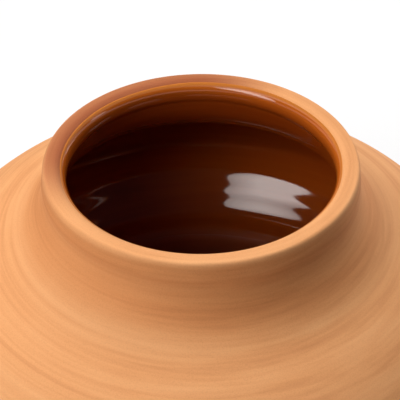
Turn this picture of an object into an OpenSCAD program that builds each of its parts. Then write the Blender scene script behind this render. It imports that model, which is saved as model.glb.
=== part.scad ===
// Squat wheel-thrown terracotta vase: bare clay outside, a clear brown glaze inside.
// Millimetres, +Z up, origin on the table at the centre of the base.

/* [Overall] */
// Height from the table to the top of the lip
height = 160; // [145:1:190]
// Diameter at the widest point of the belly
belly_d = 275; // [240:1:320]
// Height of the widest point above the table
belly_z = 72.5; // [62:0.5:82]
// Rise of the shoulder's oval above the widest point, at the axis
shoulder_rise = 70; // [60:0.5:76]

/* [Lip] */
// Outside diameter of the lip
rim_d = 140.4; // [116:0.2:162]
// Thickness of the lip across, with the glaze
lip_t = 10.8; // [8:0.1:14]
// Width and height of the oval turn of the lip's outer edge
lip_outer_w = 2.6; // [1.5:0.1:3.6]
lip_outer_h = 8; // [2:0.5:10]
// Rounding of the lip's inner edge
lip_inner_r = 4.9; // [1.5:0.1:5.2]

/* [Neck] */
// How far the neck draws in under the lip, as the pull of its curve
neck_draw = 1; // [0:0.1:3]
// How far the neck's outside stays upright under the lip, as the pull of its curve
neck_drop = 9; // [5:0.5:14]
// Flare of the neck's outside before it turns onto the shoulder
neck_flare = 4.5; // [1:0.5:8]
// Distance from the lip's outside to where the neck has become shoulder
neck_reach = 22; // [16:1:30]
// How far the throat stays upright under the lip, as the pull of its curve
throat_drop = 13; // [8:0.5:20]
// Flare of the throat before it turns under the shoulder
throat_flare = 9; // [3:0.5:12]
// Distance from the mouth's wall to where the throat has become shoulder
throat_reach = 28; // [20:1:34]

/* [Wall] */
// Thickness of the wall, across at the belly and up at the top of the shoulder's oval
wall = 7.5; // [5:0.1:9]
// Thickness of the floor at the centre
floor_t = 9.5; // [6:0.5:14]
// Height of the widest point inside above that of the outside
inside_lift = 6; // [0:0.5:9]
// Thickness of the glaze
glaze_t = 0.5; // [0.3:0.1:1]
// Turn of the lip's inner edge that the glaze leaves bare, in degrees from the top
glaze_start = 40; // [10:1:60]

/* [Foot] */
// Diameter of the foot
foot_d = 132; // [110:1:160]
// Height of the foot's side
foot_h = 5; // [3:0.5:10]
// Rounding of the foot's lower edge
foot_edge_r = 1.2; // [0.5:0.1:2.5]
// Width of the ring that the vase stands on
foot_ring_w = 12; // [8:1:20]
// Depth of the hollow under the base
recess = 2.5; // [1:0.5:4]

/* [Hidden] */

CLAY = [0.85, 0.58, 0.38];
GLAZE = [0.36, 0.14, 0.04];

// Straight pieces in each curve of the outline
ROUNDING_STEPS = 8;
SWEEP_STEPS = 20;
OVAL_STEPS = 24;
AROUND = 180;

rim_r = rim_d / 2;
belly_r = belly_d / 2;
foot_r = foot_d / 2;
mouth_r = rim_r - lip_t + glaze_t;
floor_z = recess + floor_t;
inside_z = belly_z + inside_lift;

// Half axes of the ovals: outside below the belly, then inside across, above and below it
under_rise = (belly_z - foot_h) / cos(asin(foot_r / belly_r));
inside_r = belly_r - wall;
inside_rise = shoulder_rise - wall - inside_lift;
inside_depth = inside_z - floor_z;

// Where the sweeps of the neck and throat end, as turns of the ovals from the axis
shoulder_turn = asin((rim_r + neck_reach) / belly_r);
throat_turn = asin((mouth_r + throat_reach) / inside_r);
foot_turn = 180 - asin(foot_r / belly_r);

// Points on an oval round the axis, turned from its top, with its centre at height z and half axes
// a across and b up
function oval_point(z, a, b, turn) = [a * sin(turn), z + b * cos(turn)];
function oval(z, a, b, from, to) =
    [for (i = [0 : OVAL_STEPS]) oval_point(z, a, b, from + (to - from) * i / OVAL_STEPS)];

// Points on a round or oval edge, w across and h up from its centre
function rounding(centre, w, h, from, to) =
    [for (i = [0 : ROUNDING_STEPS])
        let (turn = from + (to - from) * i / ROUNDING_STEPS)
        centre + [w * cos(turn), h * sin(turn)]];

// Smooth sweep from a start point, with its pull, to a turn of an oval, arriving along the oval
// from the radius via_r
function sweep(start, pull, via_r, z, a, b, turn) =
    let (end = oval_point(z, a, b, turn))
    let (slope = -b / a * tan(turn))
    let (via = end + (via_r - end[0]) * [1, slope])
    [for (i = [0 : SWEEP_STEPS])
        let (t = i / SWEEP_STEPS)
        let (u = 1 - t)
        u * u * u * start + 3 * t * u * u * (start + pull) + 3 * t * t * u * via + t * t * t * end];

// The same points without the first, to follow a curve that ends there
function rest_of(points) = [for (i = [1 : len(points) - 1]) points[i]];
function backwards(points) = [for (i = [len(points) - 1 : -1 : 0]) points[i]];

// The surface of a coat of thickness t on a line, on the line's left when it runs down the inside
function coat(line, t) =
    [for (i = [0 : len(line) - 1])
        let (along = line[min(i + 1, len(line) - 1)] - line[max(i - 1, 0)])
        let (out = [along[1], -along[0]] / norm(along))
        [max(0, line[i][0] + t * out[0]), line[i][1] + t * out[1]]];

// Outside of the clay, from the lip's top down to the foot
outer_edge = [rim_r - lip_outer_w, height - lip_outer_h];
outside = concat(
    rounding(outer_edge, lip_outer_w, lip_outer_h, 90, 0),
    rest_of(sweep(
        [rim_r, height - lip_outer_h],
        [-neck_draw, -neck_drop],
        rim_r + neck_flare,
        belly_z, belly_r, shoulder_rise, shoulder_turn)),
    rest_of(oval(belly_z, belly_r, shoulder_rise, shoulder_turn, 90)),
    rest_of(oval(belly_z, belly_r, under_rise, 90, foot_turn)));

// Underside, from the foot's lower edge in to the axis
ring_in_r = foot_r - foot_ring_w;
underside = concat(
    rounding([foot_r - foot_edge_r, foot_edge_r], foot_edge_r, foot_edge_r, 0, -90),
    [[ring_in_r, 0], [ring_in_r - recess, recess], [0, recess]]);

// Inside of the clay: the bare turn of the lip, then the line that the glaze covers
inner_edge = [mouth_r + lip_inner_r, height - lip_inner_r];
bare_turn = rounding(inner_edge, lip_inner_r, lip_inner_r, 90, 90 + glaze_start);
glazed_line = concat(
    rounding(inner_edge, lip_inner_r, lip_inner_r, 90 + glaze_start, 180),
    rest_of(sweep(
        [mouth_r, height - lip_inner_r],
        [0, -throat_drop],
        mouth_r + throat_flare,
        inside_z, inside_r, inside_rise, throat_turn)),
    rest_of(oval(inside_z, inside_r, inside_rise, throat_turn, 90)),
    rest_of(oval(inside_z, inside_r, inside_depth, 90, 180)));

module turned(outline) {
    rotate_extrude($fn = AROUND) polygon(outline);
}

module clay_body() {
    color(CLAY) turned(concat(outside, underside, backwards(concat(bare_turn, rest_of(glazed_line)))));
}

module inner_glaze() {
    color(GLAZE) turned(concat(glazed_line, backwards(coat(glazed_line, glaze_t))));
}

clay_body();
inner_glaze();
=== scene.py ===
"""Looks of a squat wheel-thrown terracotta vase with a glazed inside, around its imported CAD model."""
import math

import bpy
import numpy as np
from mathutils import Matrix


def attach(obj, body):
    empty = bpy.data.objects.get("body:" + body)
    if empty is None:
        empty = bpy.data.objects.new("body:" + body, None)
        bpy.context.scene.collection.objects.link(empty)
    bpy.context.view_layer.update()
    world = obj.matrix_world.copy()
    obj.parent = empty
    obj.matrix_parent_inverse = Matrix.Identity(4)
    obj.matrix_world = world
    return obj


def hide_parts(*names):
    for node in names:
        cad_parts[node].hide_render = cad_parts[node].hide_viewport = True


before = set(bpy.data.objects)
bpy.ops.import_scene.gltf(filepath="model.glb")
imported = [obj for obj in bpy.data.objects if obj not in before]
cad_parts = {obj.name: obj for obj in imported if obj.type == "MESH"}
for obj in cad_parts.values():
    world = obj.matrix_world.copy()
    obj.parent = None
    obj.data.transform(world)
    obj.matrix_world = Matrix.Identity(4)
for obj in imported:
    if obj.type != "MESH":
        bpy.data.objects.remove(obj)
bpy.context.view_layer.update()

MM = 0.001

# Driving sizes of the vase, in millimetres and degrees, as in the CAD model
HEIGHT = 160.0
BELLY_R = 137.5
BELLY_Z = 72.5
SHOULDER_RISE = 70.0
RIM_R = 70.2
LIP_T = 10.8
LIP_OUTER_W = 2.6
LIP_OUTER_H = 8.0
LIP_INNER_R = 4.9
NECK_PULL = np.array([-1.0, -9.0])
NECK_FLARE = 4.5
NECK_REACH = 22.0
THROAT_PULL = np.array([0.0, -13.0])
THROAT_FLARE = 9.0
THROAT_REACH = 28.0
WALL = 7.5
FLOOR_T = 9.5
INSIDE_LIFT = 6.0
GLAZE_T = 0.5
GLAZE_START = 40.0
FOOT_R = 66.0
FOOT_H = 5.0
FOOT_EDGE_R = 1.2
FOOT_RING_W = 12.0
RECESS = 2.5

# Sizes that follow from them
MOUTH_R = RIM_R - LIP_T + GLAZE_T
FLOOR_Z = RECESS + FLOOR_T
INSIDE_Z = BELLY_Z + INSIDE_LIFT
INSIDE_R = BELLY_R - WALL
INSIDE_RISE = SHOULDER_RISE - WALL - INSIDE_LIFT
INSIDE_DEPTH = INSIDE_Z - FLOOR_Z
UNDER_RISE = (BELLY_Z - FOOT_H) / math.sqrt(1 - (FOOT_R / BELLY_R) ** 2)
GLAZE_FROM = math.radians(GLAZE_START) * LIP_INNER_R

# Mesh fineness: columns around, and millimetres between rows
COLUMNS = 240
EDGE_STEP = 0.3
OUTSIDE_STEP = 0.75
BELLY_STEP = 1.6
FOOT_STEP = 2.5
LIP_STEP = 0.6
GLAZE_STEP = 1.1
HIDDEN_STEP = 4.0

# The angle of each column, and how far along the inside line the fine rows of the lip go
AROUND = np.arange(COLUMNS) * 2 * math.pi / COLUMNS
LIP_REACH = 34.0

# Points that a long curve, a rounded edge and the foot's small edge are drawn through
CURVE_POINTS = 200
EDGE_POINTS = 40
FOOT_EDGE_POINTS = 8

# Where the rows stop beside the axis, for one point to close them: a turn of the inside's oval, and a radius
# under the base
POLE_TURN = 179.5
POLE_R = 0.5

# Turning marks outside, as (height, pitch, cells around), and how far they fade out at both ends
TURNING_MARKS = ((0.02, 1.6, 7), (0.06, 4.5, 5), (0.16, 10.0, 3))
TURNING_FADE = 3.0
TURNING_SEED = 11

# Rings that the fingers leave inside, as (height, pitch, where one starts along the inside line), how uneven
# they are, as (height, pitch, cells around), and the places along the line between which they set in
THROWING_RINGS = ((0.16, 14.4, 153.6), (0.25, 19.9, 165.8))
THROWING_UNEVEN = (0.012, 7.0, 6)
THROWING_SEED = 29
RINGS_FROM = (60.0, 110.0)

# The swell of the lower wall, as (height, where it is highest along the inside line, how far it reaches)
SWELL = (1.1, 142.5, 13.2)

# The roll inside the lip: its swell in the same form, where the wall starts to step back under it, how far,
# and the lengths over which it does so and comes back
BEAD_SWELL = (0.4, 9.5, 4.0)
BEAD_END = 11.0
BEAD_STEP = 0.6
BEAD_TUCK = 3.2
BEAD_RETURN = 16.0

# The lip rises and falls around: how much, how deep below the top, and in which waves, as (share, times
# around, shift in radians)
LIP_WAVE = 0.08
LIP_WAVE_DEPTH = 24.0
LIP_WAVES = ((1.0, 1, -0.6), (0.55, 2, 1.1), (0.3, 3, 2.3))

# The lip's crisp outer edge: how far it stands proud of the oval turn, where most along the outside line and
# where no more, and the hollow under it, as (height, middle, reach) along that line
LIP_EDGE = 0.2
LIP_EDGE_PEAK = 1.2
LIP_EDGE_END = 6.0
LIP_UNDERCUT = (-0.45, 5.0, 2.6)

# The glaze's edge on the lip: how far it wanders, in which waves, how much lower it is on the camera's side,
# and the lengths after and before it over which the coat grows to its full thickness
GLAZE_EDGE_WAVE = 0.3
GLAZE_EDGE_WAVES = ((1.0, 2, 0.4), (0.6, 5, 1.9), (0.5, 9, 0.7))
GLAZE_EDGE_LEAN = 0.3
GLAZE_EDGE_SOFT = 7.0
GLAZE_EDGE_LEAD = GLAZE_EDGE_SOFT / 6


def oval(z, a, b, start, end):
    """Points on an oval round the axis with its centre at height z, turned in degrees from its top."""
    turn = np.radians(np.linspace(start, end, CURVE_POINTS))
    return np.c_[a * np.sin(turn), z + b * np.cos(turn)]


def rounding(centre, w, h, start, end, count=EDGE_POINTS):
    """Points on a round or oval edge."""
    turn = np.radians(np.linspace(start, end, count))
    return np.c_[centre[0] + w * np.cos(turn), centre[1] + h * np.sin(turn)]


def sweep(start, pull, via_r, z, a, b, end_turn):
    """A smooth curve from start to a turn of an oval, arriving along the oval from the radius via_r."""
    turn = math.radians(end_turn)
    end = np.array([a * math.sin(turn), z + b * math.cos(turn)])
    via = end + (via_r - end[0]) * np.array([1.0, -b / a * math.tan(turn)])
    t = np.linspace(0, 1, CURVE_POINTS)[:, None]
    u = 1 - t
    return u ** 3 * start + 3 * t * u ** 2 * (start + pull) + 3 * t ** 2 * u * via + t ** 3 * end


def turn_at(r, a):
    """The turn of an oval, in degrees from its top, at the radius r."""
    return math.degrees(math.asin(r / a))


def joined(*lines):
    """Lines one after the other, without the points where they meet repeated."""
    return np.vstack([lines[0]] + [line[1:] for line in lines[1:]])


def stations(start, *spans):
    """Places along a line from start, in spans of (up to, about this step)."""
    places = [start]
    for limit, step in spans:
        count = max(1, round((limit - places[-1]) / step))
        places += list(np.linspace(places[-1], limit, count + 1)[1:])
    return np.array(places)


def lengths(line):
    """How far along the line each point is."""
    return np.r_[0, np.cumsum(np.linalg.norm(np.diff(line, axis=0), axis=1))]


def points_at(line, places):
    """The line's points at places along it."""
    along = lengths(line)
    return np.stack([np.interp(places, along, line[:, k]) for k in (0, 1)], axis=-1)


def spaced(line, step):
    """The same line with even steps of about step millimetres."""
    return points_at(line, stations(0.0, (lengths(line)[-1], step)))


def left_of(line):
    """Unit directions square to the line, on its left."""
    along = np.gradient(line, axis=0)
    along /= np.linalg.norm(along, axis=1)[:, None]
    return np.c_[-along[:, 1], along[:, 0]]


def ease(x, low, high):
    """0 below low, 1 above high, smooth between."""
    t = np.clip((x - low) / (high - low), 0, 1)
    return t * t * (3 - 2 * t)


def fade(along, ends):
    """1 along a line, falling to 0 over a stretch at both its ends."""
    return ease(along, 0, ends) * ease(along[-1] - along, 0, ends)


def swell(along, height, middle, reach):
    """A soft rise of some height around one place along a line."""
    return height * np.exp(-((along - middle) / reach) ** 2)


def waves(terms):
    """A sum of waves around, each (share, times around, shift in radians), for every column."""
    return sum(share * np.cos(times * AROUND + shift) for share, times, shift in terms)


def smooth_noise(along, around, pitch, cells, seed):
    """Soft noise between -1 and 1 on a turned surface, in rings of a pitch with some cells around."""
    count = int(along.max() / pitch) + 3
    grid = np.random.default_rng(seed).uniform(-1, 1, (count, cells))
    row = along / pitch
    col = around / (2 * math.pi) * cells
    i = np.floor(row).astype(int)
    j = np.floor(col).astype(int)
    u = ease(row - i, 0, 1)
    v = ease(col - j, 0, 1)
    low = grid[i, j % cells] * (1 - v) + grid[i, (j + 1) % cells] * v
    high = grid[i + 1, j % cells] * (1 - v) + grid[i + 1, (j + 1) % cells] * v
    return low * (1 - u) + high * u


def add(name, data):
    """A new object in the scene."""
    thing = bpy.data.objects.new(name, data)
    bpy.context.scene.collection.objects.link(thing)
    return thing


def add_mesh(name, verts, faces, smooth):
    """A new mesh object, with a mark for each face on whether it is shaded smooth."""
    mesh = bpy.data.meshes.new(name)
    mesh.from_pydata(verts, [], faces)
    mesh.polygons.foreach_set("use_smooth", smooth)
    mesh.update()
    return add(name, mesh)


def turned_mesh(name, rows, poles, flat_strip=None):
    """A closed mesh of revolution from rows of (radius, height) per column, with poles at both ends.

    The rows go up the side towards the cavity and down the other, so that the faces point out of the solid.
    The faces of the flat strip, counted by the row that it follows, are not shaded smooth.
    """
    r = rows[:, :, 0] * MM
    z = rows[:, :, 1] * MM
    grid = np.stack([r * np.cos(AROUND), r * np.sin(AROUND), z], axis=2).reshape(-1, 3)
    verts = np.vstack([grid, [[0, 0, pole * MM] for pole in poles]])
    here = np.arange(COLUMNS)
    after = (here + 1) % COLUMNS
    last = (len(rows) - 1) * COLUMNS
    first_pole = last + COLUMNS
    faces = []
    for low in range(0, last, COLUMNS):
        high = low + COLUMNS
        faces += np.c_[low + here, high + here, high + after, low + after].tolist()
    faces += np.c_[np.full(COLUMNS, first_pole), here, after].tolist()
    faces += np.c_[last + after, last + here, np.full(COLUMNS, first_pole + 1)].tolist()
    smooth = np.ones(len(faces), bool)
    if flat_strip is not None:
        smooth[flat_strip * COLUMNS:(flat_strip + 1) * COLUMNS] = False
    return add_mesh(name, verts.tolist(), faces, smooth)


def lip_wave(z):
    """How far the hand-made lip rises and falls around, only near the top."""
    return LIP_WAVE * waves(LIP_WAVES)[None, :] * ease(z, HEIGHT - LIP_WAVE_DEPTH, HEIGHT)


def with_marks(line, marks):
    """Rows of points per column: the line, moved along its left by marks, and waved at the lip."""
    side = left_of(line)
    rows = line[:, None, :] + marks[:, :, None] * side[:, None, :]
    rows[:, :, 1] += lip_wave(rows[:, :, 1])
    return rows


def turning_marks(line):
    """Fine rings that the turning tool leaves on the outside."""
    along = np.broadcast_to(lengths(line)[:, None], (len(line), COLUMNS))
    around = np.broadcast_to(AROUND[None, :], along.shape)
    total = np.zeros(along.shape)
    for seed, (height, pitch, cells) in enumerate(TURNING_MARKS, TURNING_SEED):
        total += height * smooth_noise(along, around, pitch, cells, seed)
    return total


def lip_edge(along):
    """How far the lip's outer edge stands proud of a plain oval turn, so that it is crisp at the top."""
    return LIP_EDGE * ease(along, 0, LIP_EDGE_PEAK) * (1 - ease(along, LIP_EDGE_PEAK, LIP_EDGE_END))


def throwing_marks(along, around):
    """What stands proud of the plain inside: the fingers' rings, the wall's swell and the lip's roll."""
    rings = swell(along, *SWELL)
    for height, pitch, start in THROWING_RINGS:
        rings += height * np.sin(2 * math.pi * (along - start) / pitch)
    height, pitch, cells = THROWING_UNEVEN
    rings += height * smooth_noise(along, around, pitch, cells, THROWING_SEED)
    tuck_end = BEAD_END + BEAD_TUCK
    tuck = ease(along, BEAD_END, tuck_end) * (1 - ease(along, tuck_end, tuck_end + BEAD_RETURN))
    return rings * ease(along, *RINGS_FROM) + swell(along, *BEAD_SWELL) - BEAD_STEP * tuck


def inside_line():
    """The inside of the clay from the top of the lip's inner edge down to the axis."""
    edge = (MOUTH_R + LIP_INNER_R, HEIGHT - LIP_INNER_R)
    throat_turn = turn_at(MOUTH_R + THROAT_REACH, INSIDE_R)
    return joined(
        rounding(edge, LIP_INNER_R, LIP_INNER_R, 90, 180),
        sweep(
            np.array([MOUTH_R, HEIGHT - LIP_INNER_R]), THROAT_PULL, MOUTH_R + THROAT_FLARE,
            INSIDE_Z, INSIDE_R, INSIDE_RISE, throat_turn),
        oval(INSIDE_Z, INSIDE_R, INSIDE_RISE, throat_turn, 90),
        oval(INSIDE_Z, INSIDE_R, INSIDE_DEPTH, 90, POLE_TURN))


def outside_line():
    """The outside of the clay from the lip's top down to the widest point."""
    edge = (RIM_R - LIP_OUTER_W, HEIGHT - LIP_OUTER_H)
    shoulder_turn = turn_at(RIM_R + NECK_REACH, BELLY_R)
    return joined(
        rounding(edge, LIP_OUTER_W, LIP_OUTER_H, 90, 0),
        sweep(
            np.array([RIM_R, HEIGHT - LIP_OUTER_H]), NECK_PULL, RIM_R + NECK_FLARE,
            BELLY_Z, BELLY_R, SHOULDER_RISE, shoulder_turn),
        oval(BELLY_Z, BELLY_R, SHOULDER_RISE, shoulder_turn, 90))


def belly_line():
    """The outside below the widest point, down to the foot's top."""
    return oval(BELLY_Z, BELLY_R, UNDER_RISE, 90, 180 - turn_at(FOOT_R, BELLY_R))


def foot_line():
    """The foot's side, its ring and the hollow under the base, in to the axis."""
    edge_centre = (FOOT_R - FOOT_EDGE_R, FOOT_EDGE_R)
    edge = rounding(edge_centre, FOOT_EDGE_R, FOOT_EDGE_R, 0, -90, FOOT_EDGE_POINTS)
    ring_in = FOOT_R - FOOT_RING_W
    hollow_r = ring_in - RECESS
    side = spaced(np.array([[FOOT_R, FOOT_H], edge[0]]), FOOT_STEP)
    ring = spaced(np.array([edge[-1], [ring_in, 0]]), FOOT_STEP)
    slope = spaced(np.array([[ring_in, 0], [hollow_r, RECESS]]), FOOT_STEP)
    hollow = spaced(np.array([[hollow_r, RECESS], [POLE_R, RECESS]]), FOOT_STEP)
    return joined(side, edge, ring, slope, hollow)


def outside_rows():
    """Rows of the clay from the lip's top down to the foot, with turning marks and the lip's crisp edge."""
    shoulder = outside_line()
    places = stations(0.0, (LIP_EDGE_END, EDGE_STEP), (lengths(shoulder)[-1], OUTSIDE_STEP))
    line = joined(points_at(shoulder, places), spaced(belly_line(), BELLY_STEP))
    along = lengths(line)
    marks = turning_marks(line) * fade(along, TURNING_FADE)[:, None]
    marks += (lip_edge(along) + swell(along, *LIP_UNDERCUT))[:, None]
    return with_marks(line, marks)


def inside_rows():
    """Rows of the clay from the lip's top down the inside, with the marks of throwing."""
    line = inside_line()
    places = stations(0.0, (LIP_REACH, LIP_STEP), (lengths(line)[-1], HIDDEN_STEP))
    along = np.broadcast_to(places[:, None], (len(places), COLUMNS))
    around = np.broadcast_to(AROUND[None, :], along.shape)
    return with_marks(points_at(line, places), -throwing_marks(along, around))


def make_clay():
    """The clay body: its inside from the floor up, over the lip, and its outside down and under the foot."""
    foot = foot_line()
    foot_rows = with_marks(foot, np.zeros((len(foot), COLUMNS)))
    rows = np.concatenate([inside_rows()[::-1], outside_rows(), foot_rows[1:]])
    return turned_mesh("thrown_clay", rows, (FLOOR_Z, RECESS))


def glaze_edge():
    """How far along the inside line the glaze starts: a wavy line, lower on the camera's side."""
    shares = sum(share for share, times, shift in GLAZE_EDGE_WAVES)
    return GLAZE_FROM + GLAZE_EDGE_WAVE * waves(GLAZE_EDGE_WAVES) / shares - GLAZE_EDGE_LEAN * np.sin(AROUND)


def glaze_rows(places, coat):
    """Rows of the glaze at places along the inside line, a coat of some thickness off the clay."""
    line = inside_line()
    total = lengths(line)[-1]
    edge = glaze_edge()[None, :]
    share = (places[:, None] - places[0]) / (total - places[0])
    along = edge + share * (total - edge)
    around = np.broadcast_to(AROUND[None, :], along.shape)
    side = left_of(line)
    normal = np.stack([np.interp(along, lengths(line), side[:, k]) for k in (0, 1)], axis=2)
    thick = coat * ease(along - edge, -GLAZE_EDGE_LEAD, GLAZE_EDGE_SOFT)
    marks = -throwing_marks(along, around) - thick
    rows = points_at(line, along) + marks[:, :, None] * normal
    rows[:, :, 1] += lip_wave(rows[:, :, 1])
    return rows


def make_glaze():
    """The coat of glaze: its face towards the cavity, a thin edge on the lip, and its back on the clay."""
    total = lengths(inside_line())[-1]
    face = glaze_rows(stations(GLAZE_FROM, (LIP_REACH, LIP_STEP), (total, GLAZE_STEP)), GLAZE_T)
    back = glaze_rows(stations(GLAZE_FROM, (LIP_REACH, LIP_STEP), (total, HIDDEN_STEP)), 0.0)
    rows = np.concatenate([face[::-1], back])
    return turned_mesh("glaze_coat", rows, (FLOOR_Z + GLAZE_T, FLOOR_Z), len(face) - 1)


# How the rings in a material's noise drift across the vase: how fast, and how much of that along y
RING_DRIFT = 0.06
RING_DRIFT_Y = 0.7


class Nodes:
    """Short names for building a material's nodes."""

    def __init__(self, name):
        self.material = bpy.data.materials.new(name)
        self.material.use_nodes = True
        self.tree = self.material.node_tree
        self.tree.nodes.clear()
        self.out = self.tree.nodes.new("ShaderNodeOutputMaterial")

    def new(self, kind, **values):
        """A new node with its settings."""
        node = self.tree.nodes.new(kind)
        for key, value in values.items():
            setattr(node, key, value)
        return node

    def link(self, source, target):
        """Join two sockets."""
        self.tree.links.new(source, target)

    def math(self, operation, a, b=0.0, clamp=False):
        """The result of an operation on numbers or sockets."""
        node = self.new("ShaderNodeMath", operation=operation, use_clamp=clamp)
        for socket, value in zip(node.inputs, (a, b)):
            if isinstance(value, (int, float)):
                socket.default_value = value
            else:
                self.link(value, socket)
        return node.outputs[0]

    def scaled(self, value, factor, base):
        """A value times a factor, on top of a base."""
        return self.math("ADD", self.math("MULTIPLY", value, factor), base)

    def off_middle(self, noise, factor):
        """How far a noise is above or below its middle, times a factor."""
        return self.math("MULTIPLY", self.math("SUBTRACT", noise, 0.5), factor)

    def weighted(self, a, a_weight, b, b_weight):
        """The sum of two values, each times its weight."""
        return self.math("ADD", self.math("MULTIPLY", a, a_weight), self.math("MULTIPLY", b, b_weight))

    def noise(self, vector, scale, detail, roughness):
        """Soft noise between 0 and 1."""
        node = self.new("ShaderNodeTexNoise")
        self.link(vector, node.inputs["Vector"])
        node.inputs["Scale"].default_value = scale
        node.inputs["Detail"].default_value = detail
        node.inputs["Roughness"].default_value = roughness
        return node.outputs["Fac"]

    def ramp(self, value, *stops):
        """A colour for a value, from stops of (position, colour)."""
        node = self.new("ShaderNodeValToRGB")
        self.link(value, node.inputs["Fac"])
        elements = node.color_ramp.elements
        for _ in stops[2:]:
            elements.new(0.5)
        for element, (position, colour) in zip(elements, stops):
            element.position = position
            element.color = (*colour, 1)
        return node.outputs["Color"]

    def mix(self, share, a, b, blend="MIX"):
        """A colour a with a share of b mixed in."""
        node = self.new("ShaderNodeMix", data_type="RGBA", blend_type=blend)
        for socket, value in ((node.inputs["Factor"], share), (node.inputs["A"], a), (node.inputs["B"], b)):
            if isinstance(value, (int, float)):
                socket.default_value = value
            elif isinstance(value, tuple):
                socket.default_value = (*value, 1)
            else:
                self.link(value, socket)
        return node.outputs["Result"]

    def span(self, value, low, high):
        """0 up to low, 1 from high on, smooth between."""
        node = self.new("ShaderNodeMapRange", interpolation_type="SMOOTHSTEP")
        self.link(value, node.inputs["Value"])
        node.inputs["From Min"].default_value = low
        node.inputs["From Max"].default_value = high
        return node.outputs["Result"]

    def span_mm(self, length, low, high):
        """The same for a length, with its ends in millimetres."""
        return self.span(length, low * MM, high * MM)

    def bump(self, height, depth_mm, strength, normal=None):
        """A normal that makes a noise look raised."""
        node = self.new("ShaderNodeBump")
        self.link(height, node.inputs["Height"])
        node.inputs["Distance"].default_value = depth_mm * MM
        node.inputs["Strength"].default_value = strength
        if normal:
            self.link(normal, node.inputs["Normal"])
        return node.outputs["Normal"]

    def rings(self):
        """Object coordinates, the radius, the height, and a vector that makes noise run in rings."""
        place = self.new("ShaderNodeTexCoord").outputs["Object"]
        parts = self.new("ShaderNodeSeparateXYZ")
        self.link(place, parts.inputs[0])
        x, y, z = parts.outputs
        square = self.math("ADD", self.math("MULTIPLY", x, x), self.math("MULTIPLY", y, y))
        radius = self.math("SQRT", square)
        drift = self.math("MULTIPLY", self.math("ADD", x, self.math("MULTIPLY", y, RING_DRIFT_Y)), RING_DRIFT)
        vector = self.new("ShaderNodeCombineXYZ")
        for socket, value in zip(vector.inputs, (radius, z, drift)):
            self.link(value, socket)
        return place, radius, z, vector.outputs[0]

    def surface(self, colour, roughness):
        """The shader of the surface, from a colour and a roughness."""
        shader = self.new("ShaderNodeBsdfPrincipled")
        self.link(colour, shader.inputs["Base Color"])
        self.link(roughness, shader.inputs["Roughness"])
        self.link(shader.outputs[0], self.out.inputs["Surface"])
        return shader


# The painted shadow on one arc of the lip, darker at the back-left: the middle of its arc, around from +X,
# how far to both sides it is full and ends, in degrees, how much clouds shift its ends, and its tone
LIP_SHADOW_MIDDLE = 133.0
LIP_SHADOW_REACH = (40.0, 84.0)
LIP_SHADOW_WANDER = 0.3
LIP_SHADOW_TONE = (0.5, 0.3, 0.27)

# The depths below the top between which the painted shadow sets in, how far in from the rim its outer and its
# inner part do so, and how much of it is the outer part
LIP_SHADOW_DEPTHS = (11.0, 6.0)
LIP_SHADOW_OUTER = (-0.2, 3.0)
LIP_SHADOW_INNER = (3.0, 8.0)
LIP_SHADOW_OUTER_SHARE = 0.8


def painted_lip_shadow(n, place, radius, height, clouds):
    """Share of the painted shadow, on the top and the inner turn of the lip along one arc."""
    middle = math.radians(LIP_SHADOW_MIDDLE)
    along = n.new("ShaderNodeVectorMath", operation="DOT_PRODUCT")
    n.link(place, along.inputs[0])
    along.inputs[1].default_value = (math.cos(middle), math.sin(middle), 0)
    turn = n.math("DIVIDE", along.outputs["Value"], radius)
    turn = n.math("ADD", turn, n.off_middle(clouds, LIP_SHADOW_WANDER))
    full, none = (math.cos(math.radians(reach)) for reach in LIP_SHADOW_REACH)
    arc = n.span(turn, none, full)
    top = n.span_mm(height, *(HEIGHT - depth for depth in LIP_SHADOW_DEPTHS))
    outer = n.span_mm(radius, *(RIM_R - inset for inset in LIP_SHADOW_OUTER))
    inner = n.span_mm(radius, *(RIM_R - inset for inset in LIP_SHADOW_INNER))
    inward = n.weighted(outer, LIP_SHADOW_OUTER_SHARE, inner, 1 - LIP_SHADOW_OUTER_SHARE)
    return n.math("MULTIPLY", n.math("MULTIPLY", arc, top), inward)


# Noises of the clay, as (scale, detail, roughness)
CLAY_BANDS = (150, 3, 0.6)
CLAY_LINES = (600, 2, 0.55)
CLAY_CLOUDS = (14, 3, 0.55)
CLAY_GRAIN = (1900, 2, 0.6)

# The clay's tone: how much of it each noise makes, its colours, and the darker specks of the grain
BANDS_SHARE = 0.64
CLOUDS_SHARE = 0.36
LINES_SHARE = 0.14
CLAY_TONES = ((0.28, (0.68, 0.285, 0.108)), (0.48, (0.8, 0.37, 0.15)), (0.7, (0.87, 0.438, 0.194)))
SPECK_TONES = ((0.3, (0.86, 0.83, 0.8)), (0.55, (1.0, 1.0, 1.0)))
SPECK_SHARE = 0.55

# Painted shade in the neck's hollow, darker and redder: its tone, and the radii and heights between which it
# sets in
PAINTED_NECK_SHADE = (0.93, 0.84, 0.76)
PAINTED_NECK_SHADE_RADII = (87.0, 73.0)
PAINTED_NECK_SHADE_HEIGHTS = (159.7, 156.7)

# The clay's surface: its roughness, what the grain adds to it, its specular level, and the bumps of lines and
# grain, as (millimetres, strength)
CLAY_ROUGHNESS = 0.8
GRAIN_ROUGHNESS = 0.12
CLAY_SPECULAR = 0.25
LINES_BUMP = (0.12, 0.5)
GRAIN_BUMP = (0.08, 0.5)


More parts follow.
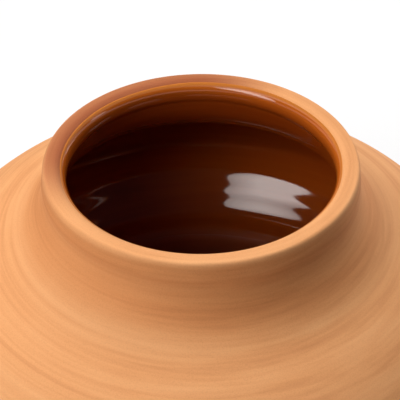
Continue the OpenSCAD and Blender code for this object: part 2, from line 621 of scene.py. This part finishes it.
def terracotta():
    """Bare fired clay: peach to brick, in soft bands and fine turned lines, with a matt grain."""
    n = Nodes("terracotta")
    place, radius, height, ring = n.rings()
    bands = n.noise(ring, *CLAY_BANDS)
    lines = n.noise(ring, *CLAY_LINES)
    clouds = n.noise(place, *CLAY_CLOUDS)
    grain = n.noise(place, *CLAY_GRAIN)
    tone = n.weighted(bands, BANDS_SHARE, clouds, CLOUDS_SHARE)
    tone = n.math("ADD", tone, n.off_middle(lines, LINES_SHARE))
    colour = n.mix(SPECK_SHARE, n.ramp(tone, *CLAY_TONES), n.ramp(grain, *SPECK_TONES), "MULTIPLY")
    neck = n.math("MULTIPLY", n.span_mm(radius, *PAINTED_NECK_SHADE_RADII), n.span_mm(height, *PAINTED_NECK_SHADE_HEIGHTS))
    # Painted shade, darker and redder, in the hollow of the neck under the lip
    colour = n.mix(neck, colour, PAINTED_NECK_SHADE, "MULTIPLY")
    # Painted shadow, darker and pinker, on the back-left arc of the lip
    colour = n.mix(painted_lip_shadow(n, place, radius, height, clouds), colour, LIP_SHADOW_TONE, "MULTIPLY")
    shader = n.surface(colour, n.scaled(grain, GRAIN_ROUGHNESS, CLAY_ROUGHNESS))
    shader.inputs["Specular IOR Level"].default_value = CLAY_SPECULAR
    normal = n.bump(lines, *LINES_BUMP)
    n.link(n.bump(grain, *GRAIN_BUMP, normal), shader.inputs["Normal"])
    return n.material


# Noises of the glaze, as (scale, detail, roughness)
GLAZE_BANDS = (120, 3, 0.55)
GLAZE_CLOUDS = (22, 2, 0.5)

# The glaze's tone: the depth below the top at which it is full, how much clouds shift that, its colours down
# to there, and the darker shade of the bands
GLAZE_FULL_DEPTH = 14.0
GLAZE_DEPTH_WANDER = 4.0
GLAZE_TONES = ((0.2, (0.6, 0.14, 0.014)), (0.55, (0.44, 0.085, 0.007)), (1.0, (0.315, 0.052, 0.004)))
BAND_SHADES = ((0.3, (0.8, 0.74, 0.7)), (0.65, (1.0, 1.0, 1.0)))

# Where the glaze runs out on the lip: its tone on the clay, and the depths between which it becomes a coat
GLAZE_EDGE_TONE = (0.55, 0.16, 0.01)
GLAZE_EDGE_DEPTHS = (1.3, 2.6)

# The lower wall is made lighter, as painted light, and the glaze pools thick and dark at the bottom: the
# tones, and the heights between which they set in
PAINTED_LOW_WALL_LIGHT = (1.5, 1.75, 1.6)
PAINTED_LOW_WALL_LIGHT_HEIGHTS = (80.0, 55.0)
POOL_TONE = (0.2, 0.12, 0.1)
POOL_HEIGHTS = (36.0, 22.0)

# The glaze's surface: its roughness, what clouds, the satin bottom and the thin edge add to it, the heights
# above the floor between which the satin sets in, and the refraction
GLAZE_ROUGHNESS = 0.03
CLOUD_ROUGHNESS = 0.05
SATIN_ROUGHNESS = 0.8
EDGE_ROUGHNESS = 0.9
SATIN_RISES = (28.0, 12.0)
GLAZE_IOR = 1.58


def brown_glaze():
    """Clear honey-brown glaze: amber where it is thin at the lip, dark brown below, and glossy."""
    n = Nodes("brown_glaze")
    place, _, height, ring = n.rings()
    bands = n.noise(ring, *GLAZE_BANDS)
    clouds = n.noise(place, *GLAZE_CLOUDS)
    depth = n.math("SUBTRACT", HEIGHT * MM, height)
    body = n.span_mm(depth, *GLAZE_EDGE_DEPTHS)
    depth = n.math("ADD", depth, n.off_middle(clouds, GLAZE_DEPTH_WANDER * MM))
    full = n.math("DIVIDE", depth, GLAZE_FULL_DEPTH * MM, clamp=True)
    colour = n.mix(1.0, n.ramp(full, *GLAZE_TONES), n.ramp(bands, *BAND_SHADES), "MULTIPLY")
    # Painted light: the lower wall of the cavity made lighter
    colour = n.mix(n.span_mm(height, *PAINTED_LOW_WALL_LIGHT_HEIGHTS), colour, PAINTED_LOW_WALL_LIGHT, "MULTIPLY")
    colour = n.mix(n.span_mm(height, *POOL_HEIGHTS), colour, POOL_TONE, "MULTIPLY")
    colour = n.mix(body, GLAZE_EDGE_TONE, colour)
    satin = n.span_mm(height, *(FLOOR_Z + rise for rise in SATIN_RISES))
    matt = n.weighted(satin, SATIN_ROUGHNESS, n.math("SUBTRACT", 1.0, body), EDGE_ROUGHNESS)
    roughness = n.math("ADD", n.scaled(clouds, CLOUD_ROUGHNESS, GLAZE_ROUGHNESS), matt)
    shader = n.surface(colour, roughness)
    shader.inputs["IOR"].default_value = GLAZE_IOR
    return n.material


# Stage, in metres and degrees: a round floor that turns up into a low wall far away, the points around and up
# that bend, its grey and its glow, and the light from all around
FLOOR_R = 5.0
WALL_BEND_R = 3.0
WALL_BEND = 75.0
FLOOR_STEPS = 96
WALL_ROWS = 16
FLOOR_COLOUR = 0.35
FLOOR_GLOW = 0.65
AMBIENT = 0.02

# What lamps and camera are placed around
LIP_CENTRE = np.array([0.0, 0.0, 0.1558])

# Each lamp: azimuth from the camera's side (left is negative), elevation, roll, distance, width, height and
# watts
LAMPS = {
    "left_softbox": (-100, 53, 0, 1.2, 0.7, 0.7, 7.9),
    "back_softbox": (155, 57, 0, 1.2, 1.2, 0.6, 9.4),
    "right_low_strip": (130, -2, 0, 1.2, 1.0, 0.2, 5.3),
    "right_strip": (93, 20, 0, 1.2, 0.35, 0.16, 0.38),
}

# The key lamp is a slanted oval that is brighter to its middle: azimuth, elevation and roll, its distance,
# width and height, layers of (share of its size, watts), the gap between them, and its colour
KEY_LAMP = (-42, 32, 35)
KEY_DISTANCE = 1.0
KEY_SIZE = (0.95, 0.445)
KEY_LAYERS = ((1.0, 3.8), (0.87, 0.59), (0.74, 0.43), (0.61, 0.3), (0.48, 0.18))
KEY_LAYER_GAP = 0.01
KEY_COLOUR = (1.0, 0.94, 0.9)
WHITE = (1.0, 1.0, 1.0)

# The camera: distance, elevation and roll, its focal length and frame in pixels, where in the frame the
# centre of the lip is, and its sensor
CAMERA_DISTANCE = 0.5
CAMERA_ELEVATION = 37.054
CAMERA_ROLL = -0.29
FOCAL_PIXELS = 1140.2
FRAME_PIXELS = 400
LIP_CENTRE_PIXEL = (201.32, 166.04)
SENSOR_MM = 36.0


def white_floor():
    """A white floor that the camera sees as white where it is lit, and that keeps the shadow."""
    n = Nodes("white_floor")
    path = n.new("ShaderNodeLightPath")
    seen = n.math("MAXIMUM", path.outputs["Is Camera Ray"], path.outputs["Is Glossy Ray"])
    seen = n.math("MAXIMUM", seen, path.outputs["Is Transmission Ray"])
    diffuse = n.new("ShaderNodeBsdfDiffuse")
    diffuse.inputs["Color"].default_value = (FLOOR_COLOUR, FLOOR_COLOUR, FLOOR_COLOUR, 1)
    glow = n.new("ShaderNodeEmission")
    n.link(n.math("MULTIPLY", seen, FLOOR_GLOW), glow.inputs["Strength"])
    both = n.new("ShaderNodeAddShader")
    n.link(diffuse.outputs[0], both.inputs[0])
    n.link(glow.outputs[0], both.inputs[1])
    n.link(both.outputs[0], n.out.inputs["Surface"])
    return n.material


def add_floor():
    """The floor: a disc, and rows of faces up the bend at its edge."""
    bend = np.radians(np.linspace(0, WALL_BEND, WALL_ROWS))
    wall = np.c_[FLOOR_R + WALL_BEND_R * np.sin(bend), WALL_BEND_R * (1 - np.cos(bend))]
    turn = np.arange(FLOOR_STEPS) * 2 * math.pi / FLOOR_STEPS
    verts = [(0, 0, 0)] + [(r * math.cos(t), r * math.sin(t), z) for r, z in wall for t in turn]
    here = np.arange(FLOOR_STEPS)
    after = (here + 1) % FLOOR_STEPS
    faces = np.c_[np.zeros(FLOOR_STEPS, int), 1 + here, 1 + after].tolist()
    for row in range(WALL_ROWS - 1):
        low = 1 + row * FLOOR_STEPS
        high = low + FLOOR_STEPS
        faces += np.c_[low + here, high + here, high + after, low + after].tolist()
    floor = add_mesh("floor", verts, faces, np.ones(len(faces), bool))
    floor.data.materials.append(white_floor())


def direction(azimuth, elevation):
    """Unit vector from the vase towards an azimuth (0 is the camera's side, right is positive)."""
    a = math.radians(azimuth)
    e = math.radians(elevation)
    return np.array([math.sin(a) * math.cos(e), -math.cos(a) * math.cos(e), math.sin(e)])


def aim(thing, azimuth, elevation, roll):
    """Turn a lamp or camera to look down at an elevation from an azimuth, rolled about its own axis."""
    turn = Matrix.Rotation(math.radians(azimuth), 3, "Z")
    tilt = Matrix.Rotation(math.radians(90 - elevation), 3, "X")
    spin = Matrix.Rotation(math.radians(roll), 3, "Z")
    thing.rotation_euler = (turn @ tilt @ spin).to_euler()


def add_lamp(name, azimuth, elevation, roll, distance, width, height, watts, colour=WHITE):
    """An oval area lamp that looks at the centre of the lip."""
    lamp = bpy.data.lights.new(name, "AREA")
    lamp.color = colour
    lamp.shape = "ELLIPSE"
    lamp.size = width
    lamp.size_y = height
    lamp.energy = watts
    thing = add(name, lamp)
    thing.location = LIP_CENTRE + distance * direction(azimuth, elevation)
    aim(thing, azimuth, elevation, roll)


def add_key():
    """The key lamp's layers, each a little nearer than the one before."""
    for layer, (share, watts) in enumerate(KEY_LAYERS):
        distance = KEY_DISTANCE - layer * KEY_LAYER_GAP
        width, height = (share * size for size in KEY_SIZE)
        add_lamp(f"key_softbox_{layer}", *KEY_LAMP, distance, width, height, watts, KEY_COLOUR)


def add_camera():
    """The camera, turned so that the centre of the lip is at its place in the frame."""
    camera = bpy.data.cameras.new("camera")
    camera.sensor_width = SENSOR_MM
    camera.lens = SENSOR_MM * FOCAL_PIXELS / FRAME_PIXELS
    thing = add("camera", camera)
    thing.location = LIP_CENTRE + CAMERA_DISTANCE * direction(0, CAMERA_ELEVATION)
    half = FRAME_PIXELS / 2
    down = math.degrees(math.atan((half - LIP_CENTRE_PIXEL[1]) / FOCAL_PIXELS))
    left = math.degrees(math.atan((LIP_CENTRE_PIXEL[0] - half) / FOCAL_PIXELS))
    aim(thing, left / math.cos(math.radians(CAMERA_ELEVATION)), CAMERA_ELEVATION + down, CAMERA_ROLL)
    bpy.context.scene.camera = thing


def add_world():
    """Dim white light from all around."""
    world = bpy.data.worlds.new("studio")
    world.use_nodes = True
    background = world.node_tree.nodes["Background"]
    background.inputs["Color"].default_value = (*WHITE, 1)
    background.inputs["Strength"].default_value = AMBIENT
    bpy.context.scene.world = world


for piece, node, slot, material in (
        (make_clay(), "clay_body", "terracotta", terracotta()),
        (make_glaze(), "inner_glaze", "brown_glaze", brown_glaze())):
    piece.data.materials.append(material)
    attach(piece, "root")
    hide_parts(node)

add_floor()
for name, settings in LAMPS.items():
    add_lamp(name, *settings)
add_key()
add_camera()
add_world()
bpy.context.scene.view_settings.view_transform = "Standard"
